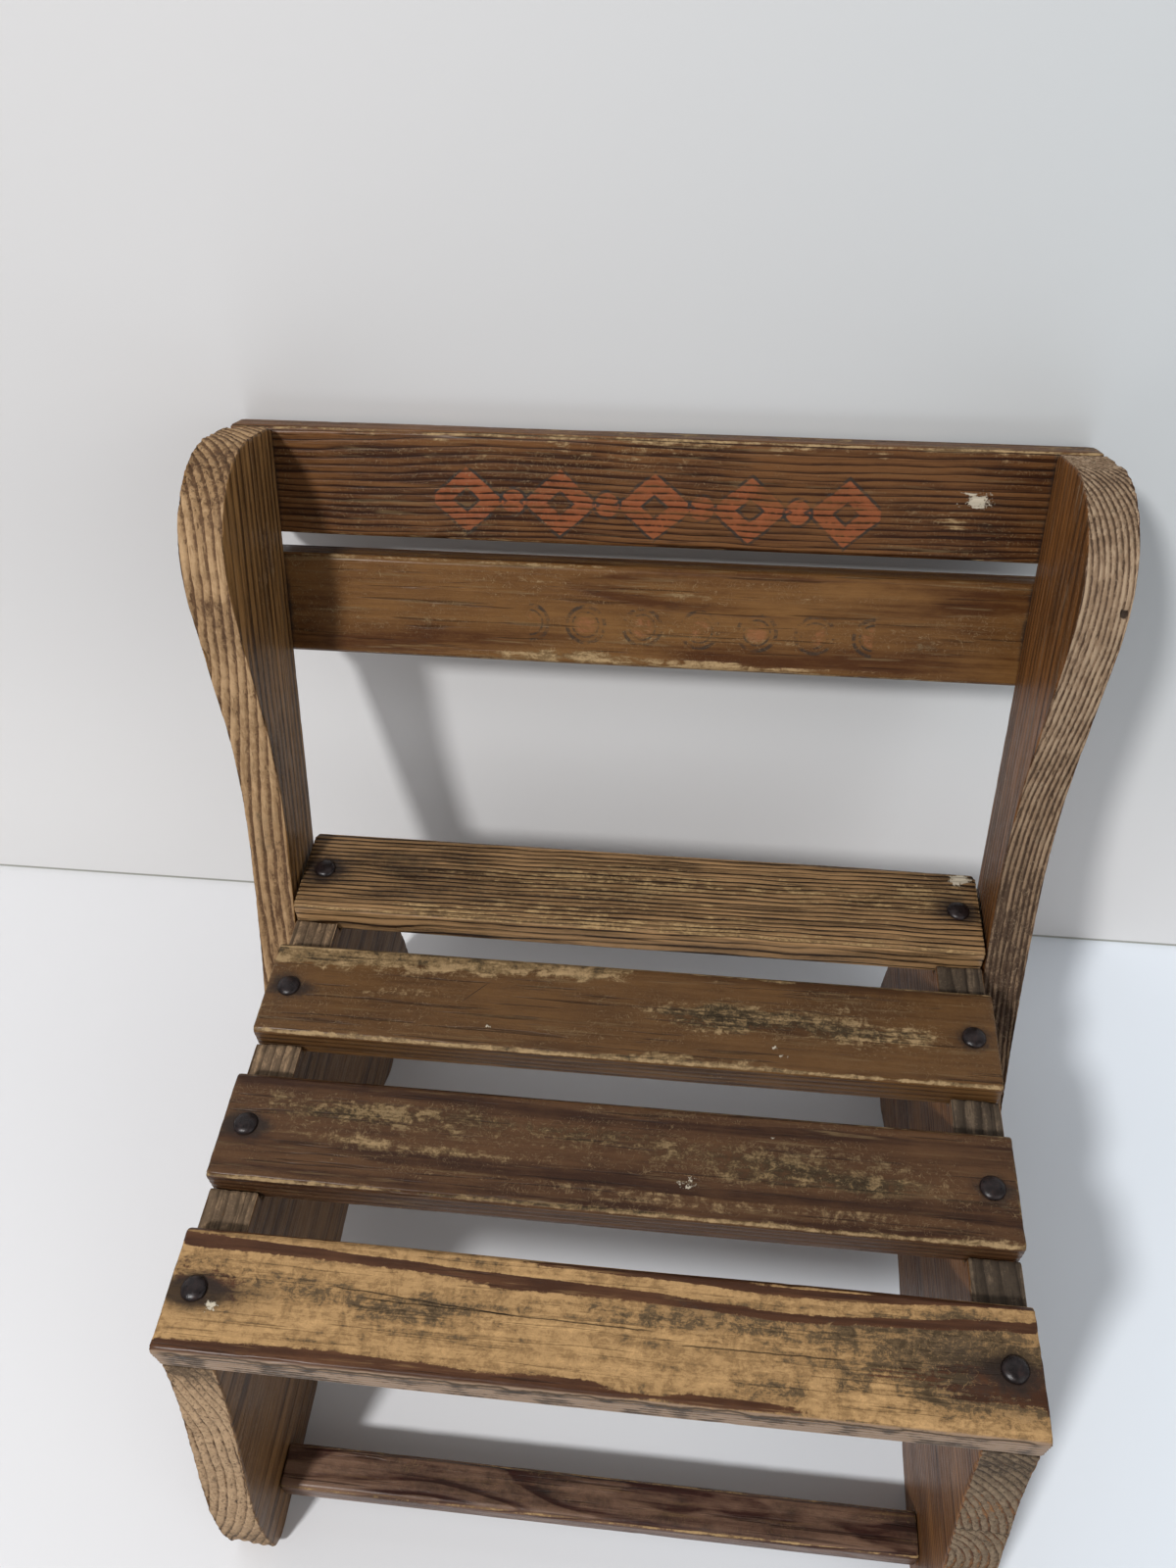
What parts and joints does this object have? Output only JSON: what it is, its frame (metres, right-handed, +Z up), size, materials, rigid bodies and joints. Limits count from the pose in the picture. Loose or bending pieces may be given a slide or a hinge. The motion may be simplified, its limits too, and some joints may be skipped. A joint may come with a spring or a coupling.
{
  "type": "step stool",
  "caption": "Child's slatted chair in worn varnished pine, whose back swings over to the front and becomes a low step.",
  "frame": {"origin": "on the floor, under the middle of the whole object", "axes": "+Z up, the sitter faces -Y, +X to the viewer's right when looking at the chair's front"},
  "size_m": [0.3948, 0.3894, 0.3905],
  "materials": {
    "leg_pine": "worn brown varnish, bare end grain on the curved edges",
    "seat_pine": "brown varnish worn through to tan wood",
    "back_pine": "red-brown varnish, satin",
    "stretcher_pine": "dark brown varnish",
    "nail_iron": "dark domed heads",
    "bolt_steel": "dull plated steel",
    "dowel_beech": "varnished dowel"
  },
  "bodies": {
    "seat_frame": {"left_leg_board": "leg_pine", "right_leg_board": "leg_pine", "front_seat_slat": "seat_pine", "second_seat_slat": "seat_pine", "third_seat_slat": "seat_pine", "rear_seat_slat": "seat_pine", "seat_nails": "nail_iron", "front_stretcher": "stretcher_pine", "stretcher_screws": "nail_iron", "left_pivot_bolt": "bolt_steel", "right_pivot_bolt": "bolt_steel", "left_pivot_nut": "bolt_steel", "right_pivot_nut": "bolt_steel", "left_nut_washer": "bolt_steel", "right_nut_washer": "bolt_steel", "left_spacer_washer": "bolt_steel", "right_spacer_washer": "bolt_steel", "left_stop_pin": "dowel_beech", "right_stop_pin": "dowel_beech"},
    "back_frame": {"left_back_board": "back_pine", "right_back_board": "back_pine", "upper_back_slat": "back_pine", "lower_back_slat": "back_pine", "back_slat_nails": "nail_iron"}
  },
  "joints": [
    {"name": "back_swing", "type": "hinge", "parent": "seat_frame", "child": "back_frame", "pos_m": [0, 0.01688, 0.043], "axis": [1, 0, 0], "range_deg": [0, 111.5]}
  ]
}
